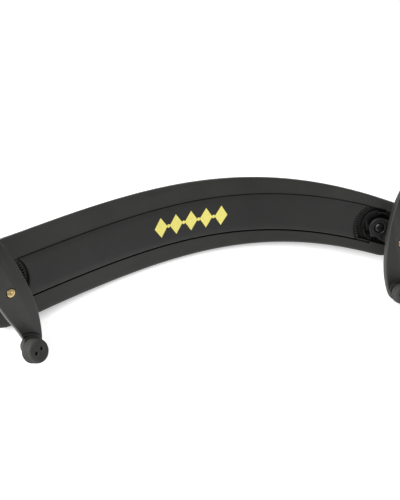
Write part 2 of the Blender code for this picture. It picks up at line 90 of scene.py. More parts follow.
GROOVE_EXTRA = 0.35     # the lower shadow gap opens this much further towards the front
GROOVE_D = 1.1          # and down to this depth
HOLLOW_LIP = 0.35       # slope round the strip's hollow ends

# ---- ornament on the strip: lozenges with dots between them ----
ORNAMENT_FROM = -20.0   # stations of its first and last shape
ORNAMENT_TO = 17.0
ORNAMENT_COUNT = 9
ORNAMENT_WIDE = 7.8
ORNAMENT_HIGH = 11.0
ORNAMENT_DOT = 1.9
FILM_TOP = 0.05         # the gilt film's face and back, above the strip's face
FILM_BACK = -0.1

# ---- foam pad ----
PAD_T = 7.0
PAD_WIDE = -116.5
PAD_NARROW = 118.0
PAD_CORNER = 8.0
PAD_INSET_WIDE = 2.6    # how far the foam's edge lies inside the bar's, at the wide end and elsewhere
PAD_INSET = 4.6
PAD_INSET_SPAN = 75.0   # length over which that inset changes
PAD_END_DIP = 0.22      # share of its thickness that the foam loses at its very ends

# ---- pockets in the bar ----
PIVOT_WIDE = -110.2     # stations of the two swivel axes
PIVOT_NARROW = 107.9
WELL_HALF = 10.0        # half width of the pocket, between the rails
WELL_D = 2.7
TEETH = 52              # index teeth of the pocket's round wall, per full turn
TEETH_R = 13.4
TEETH_DEPTH = 1.2
NOTCH_CLEAR = 3.4       # room round the height screw's tip in the opening at the bar's end
NOTCH_HALF = 9.2
NOTCH_SPAN = 60.0       # degrees to each side over which that opening follows the screw's swing
NOTCH_LOW = -14.0
NOTCH_TOP = 9.0

# ---- swivel discs, arms, clamp screws ----
DISC_R = 9.7
DISC_LOW = -2.4
DISC_TOP = -1.1         # the disc's face, and above it the hub that the arm lies on
DISC_HUB_TOP = 0.4
DISC_HUB_R = 5.4
DISC_CUT = 2.7          # the disc stops here, towards the boss
EAR_T = 1.0
EAR_FROM = 104.0        # each ear runs over this arc, counted from the arm's direction
EAR_TO = 134.0
EAR_TOP = 1.5
LUG_R = 5.9
LUG_LOW = 0.7
LUG_TOP = 2.8
LUG_FLARE = 0.8         # small flare on the lug's lower side
LUG_FAN = 15.0          # degrees by which the arm's upper side spreads towards the boss
BOSS_R = 4.7
BOSS_TOP = 5.6
CLAMP_HEAD_R = 2.6
CLAMP_SEAT = 1.2        # floor of the counterbore that the clamp screw's head sinks into
CLAMP_SHANK_R = 1.3
INSERT_R = 2.6
DRIVE_LONG = 1.55       # half length and half width of one arm of the clamp screw's cross recess
DRIVE_WIDE = 0.3

# ---- height screws ----
SCREW_R = 2.0
SCREW_ROOT_R = 1.65
SCREW_PITCH = 1.25
SCREW_PROUD = 0.25
THREAD_AROUND = 56      # steps of the thread round the screw, and along one pitch
THREAD_ALONG = 12
BUSH_R = 3.2

# ---- forks and feet ----
FORK_T = 3.8
FORK_BEVEL = 0.7
FORK_HUB_R = 4.6
FORK_HUB_H = 2.2
FORK_INNER = ((0.0, 8.7), (6.0, 8.6), (12.0, 8.2), (17.0, 7.5), (21.0, 6.7), (25.0, 5.6), (28.5, 4.4),
              (31.5, 3.1), (33.8, 1.6))
FORK_OUTER = ((0.0, 7.6), (6.0, 7.1), (12.0, 6.3), (17.0, 5.3), (21.0, 4.7), (25.0, 4.3), (28.5, 3.7),
              (31.5, 2.7), (33.8, 1.4))
FORK_TIP = 35.0
FORK_FINE = 4           # steps of the smooth curve between two points of the outline
COLLAR_AT = 28.6        # collar under each foot, along the fork from its centre
COLLAR_IN = 1.4         # how much nearer the fork's long axis it is than the foot's base
COLLAR_R = 4.3
FOOT_AT = 29.8          # middle of each foot's base, along the fork and above its face
FOOT_UP = 2.8
FOOT_TILT_IN = 13.0     # degrees, towards the bar's middle
FOOT_TILT_MID = 17.0    # degrees, towards the fork's centre
PIN_R = 2.2             # pin that each rubber foot is pushed onto
PIN_LEN = 5.0
FOOT_LEN = 6.4
FOOT_R = 5.6
FOOT_RIBS = 3
FOOT_HOLE_R = 0.85
FOOT_HOLE_AT = 1.75
FOOT_ROUND = 1.6        # rounding of the foot's end

# ---- the two ends: direction, pivot, fork face centre (station, height, across), lean and turn (degrees),
# how far the feet stand off the fork's long axis away from the bar's middle, and the screw's length ----
WIDE = {"side": -1, "pivot": PIVOT_WIDE, "face": (-112.0, 34.75, -2.4), "lean": 12.0, "turn": 20.0,
        "foot_out": 4.7, "screw": 20.0}
NARROW = {"side": 1, "pivot": PIVOT_NARROW, "face": (109.4, 45.1, -21.3), "lean": 14.0, "turn": -2.0,
          "foot_out": 1.8, "screw": 17.0}

# ---- how the part lies: turns about X and Y in degrees, then the lift and shift ----
LIE_X = -37.2
LIE_Y = -0.2
SHIFT = (1.64, 29.48, 18.91)

# ---- how shapes are made ----
STEPS = 72              # steps of a turned piece round its axis
EDGE_STEPS = 3          # segments of a rounded edge
FAR = 30.0              # past the bar's end
OVER = 8.0              # how far the pockets' and hollows' cutters run past what they cut
BORE_OVER = 12.0        # the same for the boss's bores
SHANK_OVER = 5.0        # and for the clamp screw's
SAME_LEVEL = 0.000001   # metres

# ---- floor, light and camera: the camera is measured in the design frame, then laid down with the part ----
FLOOR_HALF = 12.0
FLOOR_DROP = 0.0004
WORLD_LIGHT = 0.38
EYE = (-206.3, -350.6, 148.5)
YAW = 31.0
PITCH = 22.26
LENS = 58.63


def arc(radius, first, last, count, centre=(0.0, 0.0)):
    """Points of an arc, angles in degrees."""
    points = []
    for i in range(count + 1):
        a = math.radians(first + (last - first) * i / count)
        points.append((centre[0] + radius * math.cos(a), centre[1] + radius * math.sin(a)))
    return points


def spin(degrees, axis="Z"):
    return Matrix.Rotation(math.radians(degrees), 4, axis)


# ------------------------------------------------------------------ curves of the bar


def arch(x):
    t = x / REF
    return ARCH * t * t * (1.0 + ARCH_SKEW * t)


def arch_angle(x):
    return math.atan2(arch(x + 0.1) - arch(x - 0.1), 0.2)


def plan(x):
    t = x / REF
    return -PLAN * t * t - PLAN_SKEW * t ** 3


def plan_angle(x):
    return math.atan2(plan(x + 0.1) - plan(x - 0.1), 0.2)


def strip_line(x):
    """Offset of the strip's centre line from the bar's at a station."""
    return STRIP_SHIFT + STRIP_DRIFT * max(x / REF, 0.0) ** 3


def half_width(x, first, last, corner_first, corner_last, inset=0.0):
    """Half the width at a station, inside the bar's edge by inset, with round plan corners."""
    t = x / REF
    full = 0.5 * (WIDTH_MID + WIDTH_TAPER * t + WIDTH_CROWN * t * t) - inset
    corner = corner_first if x < 0.0 else corner_last
    over = corner - min(x - first, last - x)
    if over <= 0.0:
        return full
    return full - corner + math.sqrt(max(corner * corner - over * over, 0.0))


def on_bar(x, off, height):
    """A point at a station, off the bar's centre line, and above its front towards the instrument."""
    a = plan_angle(x)
    px = x - math.sin(a) * off
    pz = plan(x) + math.cos(a) * off
    s = arch_angle(px)
    return Vector((px - height * math.sin(s), -(arch(px) + height * math.cos(s)), pz))


def low_extra(x):
    """How much further out the lower edge is than the upper one."""
    return LOW_EXTRA + FLARE * max(-x / REF - FLARE_FROM, 0.0) ** 2


def stations(first, last, corner_first, corner_last, step):
    """Stations along the bar, closer together where the plan corners are round."""
    ends = [1.0 - math.cos(math.radians(k)) for k in (0, 22, 42, 60, 76)]
    a = first + corner_first
    b = last - corner_last
    count = round((b - a) / step)
    middle = [a + (b - a) * i / count for i in range(count + 1)]
    start = [first + corner_first * e for e in ends]
    finish = [last - corner_last * e for e in reversed(ends)]
    return start + middle + finish


def axes_at(origin, axis):
    """Frame whose Z is the axis and whose Y points across the bar's width."""
    z = Vector(axis).normalized()
    y = Vector((0.0, 0.0, 1.0))
    y = (y - y.dot(z) * z).normalized()
    m = Matrix((y.cross(z), y, z)).transposed().to_4x4()
    m.translation = Vector(origin)
    return m


def pocket_frame(end):
    """Pocket's frame: origin on the rails' level, Z square to the bar, X out of the bar's end."""
    x = end["pivot"]
    s = arch_angle(x)
    origin = on_bar(x, strip_line(x), 0.0)
    flat = axes_at(origin, (-math.sin(s), -math.cos(s), 0.0))
    ahead = flat.inverted() @ on_bar(x + end["side"], strip_line(x + end["side"]), 0.0)
    return flat @ spin(math.degrees(math.atan2(ahead.y, ahead.x)))


def face_frame(end):
    """Fork's frame: origin in the middle of its face, Z along the screw towards the instrument."""
    x, height, across = end["face"]
    lean = math.radians(end["lean"]) * end["side"]
    return axes_at((x, -height, across), (-math.sin(lean), -math.cos(lean), 0.0)) @ spin(end["turn"])


def pocket_outline():
    """Pocket in the bar: toothed round wall inboard, straight sides along the rails, open outwards."""
    reach = math.degrees(math.asin(WELL_HALF / TEETH_R))
    first = math.ceil((180.0 - reach) * TEETH / 360.0)
    last = math.floor((180.0 + reach) * TEETH / 360.0)
    corner = -TEETH_R * math.cos(math.radians(reach))
    points = [(FAR, -WELL_HALF), (FAR, WELL_HALF), (corner, WELL_HALF)]
    for i in range(first, last):
        for part, r in ((0.0, TEETH_R - TEETH_DEPTH), (0.25, TEETH_R), (0.5, TEETH_R),
                        (0.75, TEETH_R - TEETH_DEPTH)):
            a = 2.0 * math.pi * (i + part) / TEETH
            points.append((r * math.cos(a), r * math.sin(a)))
    return points + [(corner, -WELL_HALF)]


def notch_outline(reach):
    """Opening at the bar's end that lets the height screw's tip swing with the arm."""
    inner = arc(reach - NOTCH_CLEAR, NOTCH_SPAN, -NOTCH_SPAN, 40)
    x = inner[0][0]
    return inner + [(x, -NOTCH_HALF), (FAR, -NOTCH_HALF), (FAR, NOTCH_HALF), (x, NOTCH_HALF)]


def disc_outline(radius):
    """Round, cut straight on the side of the boss."""
    edge = math.degrees(math.acos(DISC_CUT / radius))
    return arc(radius, edge, 360.0 - edge, 72)


def lug_outline(reach):
    """Arm from above: round at the clamp screw, spreading towards the boss, with a small flare below."""
    spread = math.radians(LUG_FAN)
    far = reach + 0.75 * BOSS_R
    rise = LUG_R / math.cos(spread) + far * math.tan(spread)
    points = arc(BOSS_R, -90.0, 20.0, 24, (reach, 0.0))
    points += [(far + 0.5, 0.62 * rise), (far + 0.1, 0.9 * rise), (far - 0.7, rise - 0.25)]
    points += arc(LUG_R, 90.0 + LUG_FAN, 250.0, 36)
    points += [(-1.0, -LUG_R - LUG_FLARE), (0.4, -LUG_R - 0.7 * LUG_FLARE), (1.6, -LUG_R + 0.5)]
    points += [(0.5 * reach, -BOSS_R - 0.2)]
    return points


def fork_outline(inner_side):
    """Fork plate: a long lens, a little flatter on its outer side."""
    inner = [(inner_side * w, s) for s, w in FORK_INNER]
    outer = [(-inner_side * w, s) for s, w in FORK_OUTER]
    top = inner + [(0.0, FORK_TIP)] + outer[::-1]
    return top + [(x, -s) for x, s in outer[1:]] + [(0.0, -FORK_TIP)] + [(x, -s) for x, s in inner[:0:-1]]


# ------------------------------------------------------------------ shapes, each made straight in its place

ROOT = Matrix.Translation(Vector(SHIFT) * MM) @ spin(LIE_Y, "Y") @ spin(LIE_X, "X")


def metres(place):
    """The same placement with its shift in metres."""
    out = place.copy()
    out.translation = place.translation * MM
    return out


def shaded(mesh, angle=32.0):
    mesh.shade_smooth()
    mesh.set_sharp_from_angle(angle=math.radians(angle))
    return mesh


def linked(name, mesh, place=None):
    obj = bpy.data.objects.new(name, mesh)
    bpy.context.scene.collection.objects.link(obj)
    if place is not None:
        obj.matrix_world = ROOT @ metres(place)
    return obj


def solid(name, bm, place=None):
    """Turns a closed bmesh into an object in its place."""
    bmesh.ops.recalc_face_normals(bm, faces=bm.faces)
    mesh = bpy.data.meshes.new(name)
    bm.to_mesh(mesh)
    bm.free()
    return linked(name, mesh, place)


def spun(name, rings, place, closed=False):
    """Solid about local Z from rings of (radius, height), one pair for each step round the axis."""
    steps = len(rings[0])
    bm = bmesh.new()
    rows = []
    for ring in rings:
        row = []
        for k, (r, z) in enumerate(ring):
            a = 2.0 * math.pi * k / steps
            row.append(bm.verts.new((r * math.cos(a) * MM, r * math.sin(a) * MM, z * MM)))
        rows.append(row)
    pairs = list(zip(rows, rows[1:]))
    if closed:
        pairs.append((rows[-1], rows[0]))
    for upper, lower in pairs:
        for k in range(steps):
            j = (k + 1) % steps
            bm.faces.new((upper[k], lower[k], lower[j], upper[j]))
    if not closed:
        bm.faces.new(rows[0])
        bm.faces.new(rows[-1])
    return solid(name, bm, place)


def turned(name, profile, place, steps=STEPS, closed=False):
    """Turned solid about local Z from (radius, height) points that run down its outer side."""
    return spun(name, [[point] * steps for point in profile], place, closed)


def plate(name, outline, low, high, place, bevel=0.0):
    """Flat piece from an outline, its edges rounded by bevel."""
    bm = bmesh.new()
    base = bm.faces.new([bm.verts.new((x * MM, y * MM, low * MM)) for x, y in outline])
    top = bmesh.ops.extrude_face_region(bm, geom=[base])
    moved = [v for v in top["geom"] if isinstance(v, bmesh.types.BMVert)]
    bmesh.ops.translate(bm, verts=moved, vec=(0.0, 0.0, (high - low) * MM))
    bmesh.ops.recalc_face_normals(bm, faces=bm.faces)
    if bevel > 0.0:
        rims = [e for e in bm.edges if abs(e.verts[0].co.z - e.verts[1].co.z) < SAME_LEVEL]
        bmesh.ops.bevel(bm, geom=rims, offset=bevel * MM, segments=EDGE_STEPS, profile=0.5, affect="EDGES")
    return solid(name, bm, place)


def loft(name, rings):
    """Solid through equal rings of points, capped at both ends."""
    n = len(rings[0])
    bm = bmesh.new()
    rows = [[bm.verts.new(ROOT @ (Vector(p) * MM)) for p in ring] for ring in rings]
    for a, b in zip(rows, rows[1:]):
        for i in range(n):
            j = (i + 1) % n
            bm.faces.new((a[i], a[j], b[j], b[i]))
    bm.faces.new(rows[0])
    bm.faces.new(rows[-1])
    return solid(name, bm)


def combine(obj, operations):
    """Applies (operation, tool) pairs one after another and removes the tools."""
    for operation, tool in operations:
        mod = obj.modifiers.new("with_" + tool.name, "BOOLEAN")
        mod.operation = operation
        mod.solver = "EXACT"
        mod.object = tool
    bpy.context.view_layer.update()
    graph = bpy.context.evaluated_depsgraph_get()
    mesh = bpy.data.meshes.new_from_object(obj.evaluated_get(graph))
    obj.modifiers.clear()
    obj.data = mesh
    for _, tool in operations:
        bpy.data.objects.remove(tool, do_unlink=True)
    return obj


def finished(obj, mat, body, node, angle=32.0):
    """Gives a piece its material and its body, and lets it stand for its CAD node."""
    shaded(obj.data, angle)
    obj.data.materials.clear()
    obj.data.materials.append(mat)
    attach(obj, body)
    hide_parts(node)
    return obj


# ------------------------------------------------------------------ materials


class Nodes:
    """Small helper round one material's node tree."""

    def __init__(self, name):
        self.mat = bpy.data.materials.new(name)
        self.mat.use_nodes = True
        self.tree = self.mat.node_tree
        self.shader = self.tree.nodes["Principled BSDF"]
        self.coords = self.add("ShaderNodeTexCoord").outputs["Object"]

    def add(self, kind, **values):
        node = self.tree.nodes.new(kind)
        for key, value in values.items():
            setattr(node, key, value)
        return node

    def link(self, source, target):
        self.tree.links.new(source, target)

    def noise(self, scale, detail=2.0, rough=0.5, stretch=None):
        source = self.coords
        if stretch is not None:
            mapping = self.add("ShaderNodeMapping")
            mapping.inputs["Scale"].default_value = stretch
            self.link(source, mapping.inputs["Vector"])
            source = mapping.outputs["Vector"]
        node = self.add("ShaderNodeTexNoise")
        node.inputs["Scale"].default_value = scale
        node.inputs["Detail"].default_value = detail
        node.inputs["Roughness"].default_value = rough
        self.link(source, node.inputs["Vector"])
        return node.outputs["Fac"]

    def voronoi(self, scale):
        node = self.add("ShaderNodeTexVoronoi")
        node.inputs["Scale"].default_value = scale
        self.link(self.coords, node.inputs["Vector"])
        return node.outputs["Distance"]

    def spread(self, fac, low, high, to_low, to_high):
        node = self.add("ShaderNodeMapRange")
        for key, value in (("From Min", low), ("From Max", high), ("To Min", to_low), ("To Max", to_high)):
            node.inputs[key].default_value = value
        self.link(fac, node.inputs["Value"])
        return node.outputs["Result"]

    def mix(self, fac, first, second):
        node = self.add("ShaderNodeMix", data_type="RGBA")
        self.link(fac, node.inputs["Factor"])
        for socket, value in ((node.inputs[6], first), (node.inputs[7], second)):
            if isinstance(value, tuple):
                socket.default_value = (*value, 1.0)
            else:
                self.link(value, socket)
        return node.outputs[2]

    def times(self, a, b):
        node = self.add("ShaderNodeMath", operation="MULTIPLY")
        self.link(a, node.inputs[0])
        if isinstance(b, float):
            node.inputs[1].default_value = b
        else:
            self.link(b, node.inputs[1])
        return node.outputs[0]

    def bump(self, height, distance, strength, normal=None):
        node = self.add("ShaderNodeBump")
        node.inputs["Strength"].default_value = strength
        node.inputs["Distance"].default_value = distance * MM
        self.link(height, node.inputs["Height"])
        if normal is not None:
            self.link(normal, node.inputs["Normal"])
        return node.outputs["Normal"]

    def rounded(self, radius):
        node = self.add("ShaderNodeBevel", samples=6)
        node.inputs["Radius"].default_value = radius * MM
        return node.outputs["Normal"]

    def open_air(self, distance):
        """1 in the open, falling to 0 deep inside recesses and gaps; it masks painted shade."""
        node = self.add("ShaderNodeAmbientOcclusion", samples=8)
        node.inputs["Distance"].default_value = distance * MM
        return self.spread(node.outputs["AO"], 0.4, 0.92, 0.06, 1.0)

    def edges(self):
        """1 along outer edges, where rubbed wear and a painted highlight are laid, broken up a little."""
        point = self.add("ShaderNodeNewGeometry").outputs["Pointiness"]
        return self.times(self.spread(point, 0.515, 0.56, 0.0, 1.0), self.noise(260.0, 3.0))


def plastic(name, tone, rough, grain, rounding, rub, gloss=0.45):
    """Dark moulded plastic: fine satin grain, faint cloudiness, rubbed edges that also carry a painted
    highlight, and painted shade in the recesses, where colour and gloss fall.
    """
    n = Nodes(name)
    light = tuple(1.22 * v for v in tone)
    dark = tuple(0.86 * v for v in tone)
    # painted shade: a near-black copy of the tone, laid by the occlusion mask into recesses and gaps
    painted_shade_tone = tuple(0.15 * v for v in tone)
    # edge colour: rubbed wear and a painted highlight along the rims, as strong as rub makes it
    edge_wear_and_highlight = tuple(rub * v for v in tone)
    air = n.open_air(9.0)
    cloud = n.mix(n.spread(n.noise(38.0, 3.0), 0.3, 0.7, 0.0, 1.0), dark, light)
    n.link(n.mix(n.edges(), n.mix(air, painted_shade_tone, cloud), edge_wear_and_highlight), n.shader.inputs["Base Color"])
    # painted shade on the gloss: less reflection where the occlusion mask falls
    n.link(n.times(air, gloss), n.shader.inputs["Specular IOR Level"])
    smear = n.spread(n.noise(140.0, 4.0), 0.25, 0.75, rough - 0.06, rough + 0.07)
    n.link(smear, n.shader.inputs["Roughness"])
    fine = n.bump(n.noise(2600.0, 2.0), grain, 0.35, n.rounded(rounding))
    n.link(n.bump(n.noise(55.0, 1.0), 0.15, 0.05, fine), n.shader.inputs["Normal"])
    return n.mat


def rubber():
    """Soft dark rubber with a dusty bloom and fine pores."""
    n = Nodes("foot_rubber_look")
    bloom = n.spread(n.noise(210.0, 5.0, 0.65), 0.35, 0.7, 0.0, 1.0)
    n.link(n.mix(bloom, (0.026, 0.0265, 0.0245), (0.042, 0.042, 0.039)), n.shader.inputs["Base Color"])
    n.link(n.spread(bloom, 0.0, 1.0, 0.62, 0.8), n.shader.inputs["Roughness"])
    pores = n.bump(n.voronoi(1900.0), 0.03, 0.3, n.rounded(0.2))
    n.link(n.bump(n.noise(500.0, 3.0), 0.06, 0.3, pores), n.shader.inputs["Normal"])
    n.shader.inputs["Specular IOR Level"].default_value = 0.35
    return n.mat


def foam():
    """Open-cell foam: small dark cells with lighter walls between them."""
    n = Nodes("foam_look")
    cells = n.voronoi(1050.0)
    walls = n.spread(cells, 0.05, 0.55, 0.0, 1.0)
    patches = n.spread(n.noise(60.0, 3.0), 0.3, 0.7, 0.0, 1.0)
    cloud = n.mix(patches, (0.016, 0.0165, 0.0165), (0.026, 0.026, 0.0255))
    n.link(n.mix(walls, (0.006, 0.006, 0.006), cloud), n.shader.inputs["Base Color"])
    n.shader.inputs["Roughness"].default_value = 0.95
    n.shader.inputs["Sheen Weight"].default_value = 0.25
    n.shader.inputs["Sheen Roughness"].default_value = 0.6
    coarse = n.bump(n.noise(420.0, 4.0, 0.6), 0.25, 0.5)
    n.link(n.bump(walls, 0.22, 0.8, coarse), n.shader.inputs["Normal"])
    return n.mat


def metal(name, tone, tarnish, rough):
    """Turned metal: fine lathe lines, light tarnish and small scratches."""
    n = Nodes(name)
    age = n.spread(n.noise(170.0, 5.0, 0.6), 0.42, 0.72, 0.0, 0.8)
    n.link(n.mix(age, tone, tarnish), n.shader.inputs["Base Color"])
    n.shader.inputs["Metallic"].default_value = 1.0
    n.link(n.spread(n.noise(320.0, 4.0), 0.3, 0.7, rough - 0.07, rough + 0.1), n.shader.inputs["Roughness"])
    lines = n.noise(2400.0, 2.0, 0.5, (0.15, 0.15, 1.0))
    n.link(n.bump(lines, 0.02, 0.25, n.rounded(0.08)), n.shader.inputs["Normal"])
    return n.mat


def gilt():
    """Pale gold paint, a little uneven."""
    n = Nodes("gilt_look")
    rub = n.spread(n.noise(900.0, 4.0, 0.6), 0.45, 0.7, 0.0, 0.75)
    n.link(n.mix(rub, (0.86, 0.78, 0.2), (0.74, 0.64, 0.16)), n.shader.inputs["Base Color"])
    n.shader.inputs["Metallic"].default_value = 0.1
    n.shader.inputs["Roughness"].default_value = 0.45
    return n.mat


bar_look = plastic("bar_look", (0.019, 0.0195, 0.0175), rough=0.43, grain=0.03, rounding=0.35, rub=1.3)
strip_look = plastic("strip_look", (0.0125, 0.013, 0.012), rough=0.5, grain=0.022, rounding=0.3, rub=1.4)
# disc and arm: tones darker than the other plastics and less gloss, as painted shade for their sunken place
# near the forks; their high rub makes a painted highlight on the rims
disc_look = plastic("disc_look", (0.004, 0.0042, 0.004), rough=0.47, grain=0.025, rounding=0.15, rub=6.0,
                    gloss=0.24)
arm_look = plastic("arm_look", (0.007, 0.0072, 0.0068), rough=0.4, grain=0.025, rounding=0.2, rub=4.5,
                   gloss=0.3)
fork_look = plastic("fork_look", (0.021, 0.0215, 0.0195), rough=0.46, grain=0.028, rounding=0.25, rub=2.2)
rubber_look = rubber()
foam_look = foam()
brass_look = metal("brass_look", (0.83, 0.62, 0.3), (0.5, 0.34, 0.15), 0.27)
steel_look = metal("black_steel_look", (0.055, 0.055, 0.055), (0.03, 0.029, 0.028), 0.42)
gilt_look = gilt()

# ------------------------------------------------------------------ bar, strip, ornament and foam


def strip_rings(section):
    """The same section along the strip's centre line, from one swivel axis to the other."""
    count = 2 * round((PIVOT_NARROW - PIVOT_WIDE) / STEP)
    rings = []
    for i in range(count + 1):
        x = PIVOT_WIDE + (PIVOT_NARROW - PIVOT_WIDE) * i / count
        rings.append([on_bar(x, strip_line(x) + off, height) for off, height in section])
    return rings


def bar_edge(chamfer=0.0):
    """Section of the bar's edge from its front round to its back, offsets counted from the outline."""
    rim = RIM + 0.5 * chamfer
    points = [(-4.0 * rim, 0.0), (-2.0 * rim, 0.0)]
    for k in range(7):
        a = math.radians(90.0 - 15.0 * k)
        flat = k / 6.0 - 1.0
        out = chamfer * flat + (1.0 - chamfer) * (math.cos(a) - 1.0)
        down = -chamfer * (flat + 1.0) + (1.0 - chamfer) * (math.sin(a) - 1.0)
        points.append((rim * out, rim * down))
    points += [(-0.15, -BAR_T + 2.2), (-0.5, -BAR_T + 1.4), (-0.95, -BAR_T + 0.7), (-1.5, -BAR_T + 0.25),
               (-2.2, -BAR_T), (-6.0, -BAR_T)]
    return points


def make_bar(cuts):
    """Bar with its edges, the strip's seat and both ends' pockets."""
    rings = []
    for x in stations(BAR_WIDE, BAR_NARROW, CORNER_WIDE, CORNER_NARROW, 0.5 * STEP):
        high = half_width(x, BAR_WIDE, BAR_NARROW, CORNER_WIDE, CORNER_NARROW)
        low = half_width(x, BAR_WIDE, BAR_NARROW, CORNER_WIDE, CORNER_NARROW, -low_extra(x))
        chamfer = min(max((CHAMFER_TO - x) / CHAMFER_FADE, 0.0), 1.0)
        section = [(high + off, height) for off, height in bar_edge(chamfer)]
        section += [(-low - off, height) for off, height in reversed(bar_edge())]
        rings.append([on_bar(x, off, height) for off, height in section])
    made = loft("bar", rings)
    low = -STRIP_W / 2 - STRIP_GAP_LOW
    high = STRIP_W / 2 + GAP
    groove = low - GROOVE_EXTRA
    seat = loft("seat", strip_rings([(low, -CHANNEL_D), (high, -CHANNEL_D), (high, 2.0), (groove, 2.0),
                                     (groove, -GROOVE_D), (low, -GROOVE_D - 0.2)]))
    combine(made, [("DIFFERENCE", seat)] + cuts)
    return finished(made, bar_look, "base", "base_bar", 28.0)


def make_strip(cuts):
    """Strip between the pockets, its long edges softened."""
    low = -STRIP_W / 2
    high = STRIP_W / 2
    top = STRIP_PROUD
    floor = GAP - CHANNEL_D
    half = [(high - 4.0, top), (high - 0.55, top), (high - 0.3, top - 0.06), (high - 0.1, top - 0.2),
            (high, top - 0.45), (high, floor)]
    section = half + [(low, floor), (low, top - 0.45), (low + 0.1, top - 0.2), (low + 0.3, top - 0.06),
                      (low + 0.55, top), (low + 4.0, top)]
    made = combine(loft("strip", strip_rings(section)), cuts)
    return finished(made, strip_look, "base", "centre_strip", 28.0)


def oval(x, wide, high, corners):
    """Points round (x, 0): a lozenge from four corners, a dot from many."""
    turns = [2.0 * math.pi * i / corners for i in range(corners)]
    return [(x + 0.5 * wide * math.cos(a), 0.5 * high * math.sin(a)) for a in turns]


def divided(outline, parts):
    """The same closed outline with each side cut into equal parts, so that it follows the strip's curve."""
    points = []
    for (ax, ay), (bx, by) in zip(outline, outline[1:] + outline[:1]):
        points += [(ax + (bx - ax) * t / parts, ay + (by - ay) * t / parts) for t in range(parts)]
    return points


def on_strip(x, off, height):
    """A point at a station in its final place, off the strip's centre line and above its face."""
    return ROOT @ (on_bar(x, strip_line(x) + off, STRIP_PROUD + height) * MM)


def make_ornament():
    """A plain row of lozenges and dots in gilt along the strip, a film standing just proud of it."""
    bm = bmesh.new()
    for k in range(ORNAMENT_COUNT):
        x = ORNAMENT_FROM + (ORNAMENT_TO - ORNAMENT_FROM) * k / (ORNAMENT_COUNT - 1)
        if k % 2 == 0:
            outline = divided(oval(x, ORNAMENT_WIDE, ORNAMENT_HIGH, 4), 6)
        else:
            outline = oval(x, ORNAMENT_DOT, ORNAMENT_DOT, 20)
        upper = [bm.verts.new(on_strip(px, py, FILM_TOP)) for px, py in outline]
        lower = [bm.verts.new(on_strip(px, py, FILM_BACK)) for px, py in outline]
        centre = bm.verts.new(on_strip(x, 0.0, FILM_TOP))
        base = bm.verts.new(on_strip(x, 0.0, FILM_BACK))
        for i in range(len(outline)):
            j = (i + 1) % len(outline)
            bm.faces.new((upper[i], upper[j], centre))
            bm.faces.new((lower[j], lower[i], base))
            bm.faces.new((upper[j], upper[i], lower[i], lower[j]))
    made = solid("strip_ornament", bm)
    shaded(made.data)
    made.data.materials.append(gilt_look)
    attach(made, "base")


def make_foam():
    """Foam pad: crowned over its back, edges pulled in and softly uneven, flat only against the bar."""
    top = -BAR_T - GAP
    rings = []
    sweep = [math.radians(a) for a in range(90, -91, -10)]
    for x in stations(PAD_WIDE, PAD_NARROW, PAD_CORNER, PAD_CORNER, 0.75 * STEP):
        blend = min(max((x - PAD_WIDE) / PAD_INSET_SPAN, 0.0), 1.0)
        inset = PAD_INSET_WIDE + (PAD_INSET - PAD_INSET_WIDE) * blend
        high = half_width(x, PAD_WIDE, PAD_NARROW, PAD_CORNER, PAD_CORNER, inset)
        low = half_width(x, PAD_WIDE, PAD_NARROW, PAD_CORNER, PAD_CORNER, inset - low_extra(x))
        end = min(x - PAD_WIDE, PAD_NARROW - x)
        thick = PAD_T * (1.0 - PAD_END_DIP * math.exp(-end / 4.0))
        edge = [(-5.0, top), (-2.0, top)]
        for a in sweep:
            edge.append((3.0 * (math.cos(a) - 1.0), top - 0.46 * thick + 0.44 * thick * math.sin(a)))
        edge += [(-5.5, top - 0.935 * thick), (-9.0, top - 0.97 * thick)]
        middle = [(0.35, top - thick), (-0.35, top - thick)]
        section = [(high + off, height) for off, height in edge]
        section += [(w * high, height) for w, height in middle]
        section += [(-low - off, height) for off, height in reversed(edge)]
        rings.append([on_bar(x, off, height) for off, height in section])
    made = loft("foam", rings)
    bm = bmesh.new()
    bm.from_mesh(made.data)
    bmesh.ops.triangulate(bm, faces=[f for f in bm.faces if len(f.verts) > 4])
    coarse = [e for e in bm.edges if e.calc_length() > 4.0 * MM]
    bmesh.ops.subdivide_edges(bm, edges=coarse, cuts=1, use_grid_fill=True)
    bm.normal_update()
    inward = ROOT.to_3x3() @ Vector((0.0, 1.0, 0.0))
    for v in bm.verts:
        free = max(v.normal.dot(inward) + 0.75, 0.0)
        wave = noise.noise(v.co * 95.0) * 0.22 + noise.noise(v.co * 330.0) * 0.12 - 0.12
        v.co += v.normal * wave * min(free, 1.0) * MM
    bm.to_mesh(made.data)
    bm.free()
    finished(made, foam_look, "base", "foam_pad", 50.0)


# ------------------------------------------------------------------ pieces of one end


def bar_cuts(tag, pocket, reach):
    """What one end takes out of the bar: the pocket, the opening at its end and the insert's bore."""
    bore = INSERT_R + GAP
    return [("DIFFERENCE", plate("pocket_" + tag, pocket_outline(), -WELL_D, OVER, pocket)),
            ("DIFFERENCE", plate("notch_" + tag, notch_outline(reach), NOTCH_LOW, NOTCH_TOP, pocket)),
            ("DIFFERENCE", turned("insert_" + tag, [(bore, 3.0), (bore, -BAR_T - 3.0)], pocket))]


